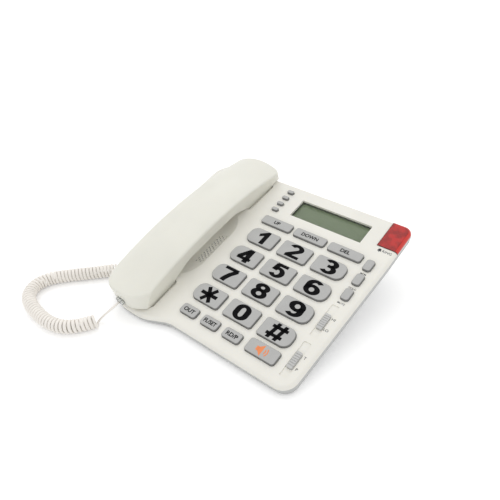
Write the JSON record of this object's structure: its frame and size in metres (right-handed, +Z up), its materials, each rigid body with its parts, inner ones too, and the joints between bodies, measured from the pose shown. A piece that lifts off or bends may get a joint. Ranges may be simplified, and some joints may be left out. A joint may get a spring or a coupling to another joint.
{
  "type": "corded landline telephone",
  "caption": "Corded desk telephone: handset in a cradle, display, lamp, large digit keys, slide switches and a curly cord.",
  "frame": {"origin": "on the desk under the middle of the telephone without its cord", "axes": "+Z up, +Y towards the back, +X to the user's right"},
  "size_m": [0.2855, 0.2705, 0.0753],
  "materials": {
    "shell_plastic": "ivory white moulded plastic, fine satin",
    "lower_plastic": "light grey moulded plastic",
    "handset_plastic": "ivory white moulded plastic, satin",
    "key_plastic": "light grey keys, fine texture",
    "small_plastic": "grey knobs and keys",
    "clear_window": "clear display window",
    "display_glass": "liquid crystal display, olive",
    "lamp_red": "clear red lamp cap",
    "circuit_board": "green circuit board",
    "silicone": "moulded silicone rubber",
    "rubber_black": "black rubber",
    "steel": "zinc plated steel",
    "black_plastic": "black moulded plastic",
    "cell_wrap": "plain wrapped cells",
    "cord_cover": "ivory cord cover",
    "clear_plug": "clear plug"
  },
  "bodies": {
    "base": {"top_shell": "shell_plastic", "bottom_shell": "lower_plastic", "display_window": "clear_window", "display_module": "display_glass", "lamp_lens": "lamp_red", "lamp_board": "circuit_board", "main_board": "circuit_board", "keypad_membrane": "silicone", "board_screws": "steel", "loudspeaker": "steel", "hook_switch": "black_plastic", "ballast_plate": "steel", "battery_door": "lower_plastic", "batteries": "cell_wrap", "battery_contacts": "steel", "rubber_feet": "rubber_black", "case_screws": "steel", "line_jack": "black_plastic", "cord_jack_base": "black_plastic", "cord_plug_base": "clear_plug", "curly_cord": "cord_cover"},
    "handset": {"handset_back_shell": "handset_plastic", "handset_face_shell": "handset_plastic", "earpiece_capsule": "steel", "microphone_capsule": "steel", "handset_weight": "steel", "handset_screws": "steel", "handset_jack": "black_plastic", "cord_plug_handset": "clear_plug"},
    "hook": {"hook_plunger": "small_plastic"},
    "ringer_knob": {"slide_ringer": "small_plastic"},
    "dialling_knob": {"slide_dialling": "small_plastic"},
    "key_star_cap": {"key_star": "key_plastic"},
    "key_0_cap": {"key_0": "key_plastic"},
    "key_hash_cap": {"key_hash": "key_plastic"},
    "key_7_cap": {"key_7": "key_plastic"},
    "key_8_cap": {"key_8": "key_plastic"},
    "key_9_cap": {"key_9": "key_plastic"},
    "key_4_cap": {"key_4": "key_plastic"},
    "key_5_cap": {"key_5": "key_plastic"},
    "key_6_cap": {"key_6": "key_plastic"},
    "key_1_cap": {"key_1": "key_plastic"},
    "key_2_cap": {"key_2": "key_plastic"},
    "key_3_cap": {"key_3": "key_plastic"},
    "key_up_cap": {"key_up": "key_plastic"},
    "key_down_cap": {"key_down": "key_plastic"},
    "key_delete_cap": {"key_delete": "key_plastic"},
    "key_out_cap": {"key_out": "key_plastic"},
    "key_flash_cap": {"key_flash": "key_plastic"},
    "key_redial_cap": {"key_redial": "key_plastic"},
    "key_speaker_cap": {"key_speaker": "key_plastic"},
    "key_side_lower_cap": {"key_side_lower": "key_plastic"},
    "key_side_middle_cap": {"key_side_middle": "key_plastic"},
    "key_side_upper_cap": {"key_side_upper": "key_plastic"},
    "key_menu_1_cap": {"key_menu_1": "key_plastic"},
    "key_menu_2_cap": {"key_menu_2": "key_plastic"},
    "key_menu_3_cap": {"key_menu_3": "key_plastic"},
    "key_menu_4_cap": {"key_menu_4": "key_plastic"}
  },
  "joints": [
    {"name": "handset_lift", "type": "slide", "parent": "base", "child": "handset", "axis": [0, -0.2334, 0.9724], "range_m": [0, 0.06], "deforming": ["curly_cord"]},
    {"name": "hook_travel", "type": "slide", "parent": "base", "child": "hook", "axis": [0, -0.2334, 0.9724], "range_m": [0, 0.005]},
    {"name": "key_star_press", "type": "slide", "parent": "base", "child": "key_star_cap", "axis": [0, 0.2334, -0.9724], "range_m": [0, 0.0013], "stiffness_N_per_m": 900},
    {"name": "key_0_press", "type": "slide", "parent": "base", "child": "key_0_cap", "axis": [0, 0.2334, -0.9724], "range_m": [0, 0.0013], "stiffness_N_per_m": 900},
    {"name": "key_hash_press", "type": "slide", "parent": "base", "child": "key_hash_cap", "axis": [0, 0.2334, -0.9724], "range_m": [0, 0.0013], "stiffness_N_per_m": 900},
    {"name": "key_7_press", "type": "slide", "parent": "base", "child": "key_7_cap", "axis": [0, 0.2334, -0.9724], "range_m": [0, 0.0013], "stiffness_N_per_m": 900},
    {"name": "key_8_press", "type": "slide", "parent": "base", "child": "key_8_cap", "axis": [0, 0.2334, -0.9724], "range_m": [0, 0.0013], "stiffness_N_per_m": 900},
    {"name": "key_9_press", "type": "slide", "parent": "base", "child": "key_9_cap", "axis": [0, 0.2334, -0.9724], "range_m": [0, 0.0013], "stiffness_N_per_m": 900},
    {"name": "key_4_press", "type": "slide", "parent": "base", "child": "key_4_cap", "axis": [0, 0.2334, -0.9724], "range_m": [0, 0.0013], "stiffness_N_per_m": 900},
    {"name": "key_5_press", "type": "slide", "parent": "base", "child": "key_5_cap", "axis": [0, 0.2334, -0.9724], "range_m": [0, 0.0013], "stiffness_N_per_m": 900},
    {"name": "key_6_press", "type": "slide", "parent": "base", "child": "key_6_cap", "axis": [0, 0.2334, -0.9724], "range_m": [0, 0.0013], "stiffness_N_per_m": 900},
    {"name": "key_1_press", "type": "slide", "parent": "base", "child": "key_1_cap", "axis": [0, 0.2334, -0.9724], "range_m": [0, 0.0013], "stiffness_N_per_m": 900},
    {"name": "key_2_press", "type": "slide", "parent": "base", "child": "key_2_cap", "axis": [0, 0.2334, -0.9724], "range_m": [0, 0.0013], "stiffness_N_per_m": 900},
    {"name": "key_3_press", "type": "slide", "parent": "base", "child": "key_3_cap", "axis": [0, 0.2334, -0.9724], "range_m": [0, 0.0013], "stiffness_N_per_m": 900},
    {"name": "key_up_press", "type": "slide", "parent": "base", "child": "key_up_cap", "axis": [0, 0.2334, -0.9724], "range_m": [0, 0.0013], "stiffness_N_per_m": 900},
    {"name": "key_down_press", "type": "slide", "parent": "base", "child": "key_down_cap", "axis": [0, 0.2334, -0.9724], "range_m": [0, 0.0013], "stiffness_N_per_m": 900},
    {"name": "key_delete_press", "type": "slide", "parent": "base", "child": "key_delete_cap", "axis": [0, 0.2334, -0.9724], "range_m": [0, 0.0013], "stiffness_N_per_m": 900},
    {"name": "key_out_press", "type": "slide", "parent": "base", "child": "key_out_cap", "axis": [0, 0.2334, -0.9724], "range_m": [0, 0.0013], "stiffness_N_per_m": 900},
    {"name": "key_flash_press", "type": "slide", "parent": "base", "child": "key_flash_cap", "axis": [0, 0.2334, -0.9724], "range_m": [0, 0.0013], "stiffness_N_per_m": 900},
    {"name": "key_redial_press", "type": "slide", "parent": "base", "child": "key_redial_cap", "axis": [0, 0.2334, -0.9724], "range_m": [0, 0.0013], "stiffness_N_per_m": 900},
    {"name": "key_speaker_press", "type": "slide", "parent": "base", "child": "key_speaker_cap", "axis": [0, 0.2334, -0.9724], "range_m": [0, 0.0013], "stiffness_N_per_m": 900},
    {"name": "key_side_lower_press", "type": "slide", "parent": "base", "child": "key_side_lower_cap", "axis": [0, 0.2334, -0.9724], "range_m": [0, 0.0013], "stiffness_N_per_m": 900},
    {"name": "key_side_middle_press", "type": "slide", "parent": "base", "child": "key_side_middle_cap", "axis": [0, 0.2334, -0.9724], "range_m": [0, 0.0013], "stiffness_N_per_m": 900},
    {"name": "key_side_upper_press", "type": "slide", "parent": "base", "child": "key_side_upper_cap", "axis": [0, 0.2334, -0.9724], "range_m": [0, 0.0013], "stiffness_N_per_m": 900},
    {"name": "key_menu_1_press", "type": "slide", "parent": "base", "child": "key_menu_1_cap", "axis": [0, 0.2334, -0.9724], "range_m": [0, 0.0013], "stiffness_N_per_m": 900},
    {"name": "key_menu_2_press", "type": "slide", "parent": "base", "child": "key_menu_2_cap", "axis": [0, 0.2334, -0.9724], "range_m": [0, 0.0013], "stiffness_N_per_m": 900},
    {"name": "key_menu_3_press", "type": "slide", "parent": "base", "child": "key_menu_3_cap", "axis": [0, 0.2334, -0.9724], "range_m": [0, 0.0013], "stiffness_N_per_m": 900},
    {"name": "key_menu_4_press", "type": "slide", "parent": "base", "child": "key_menu_4_cap", "axis": [0, 0.2334, -0.9724], "range_m": [0, 0.0013], "stiffness_N_per_m": 900},
    {"name": "ringer_slide", "type": "slide", "parent": "base", "child": "ringer_knob", "axis": [0, 0.9724, 0.2334], "range_m": [-0.004, 0.004]},
    {"name": "dialling_slide", "type": "slide", "parent": "base", "child": "dialling_knob", "axis": [0, 0.9724, 0.2334], "range_m": [-0.004, 0.004]}
  ],
  "couplings": [
    {"joint": "hook_travel", "follows": "handset_lift", "ratio": 0.0833}
  ]
}
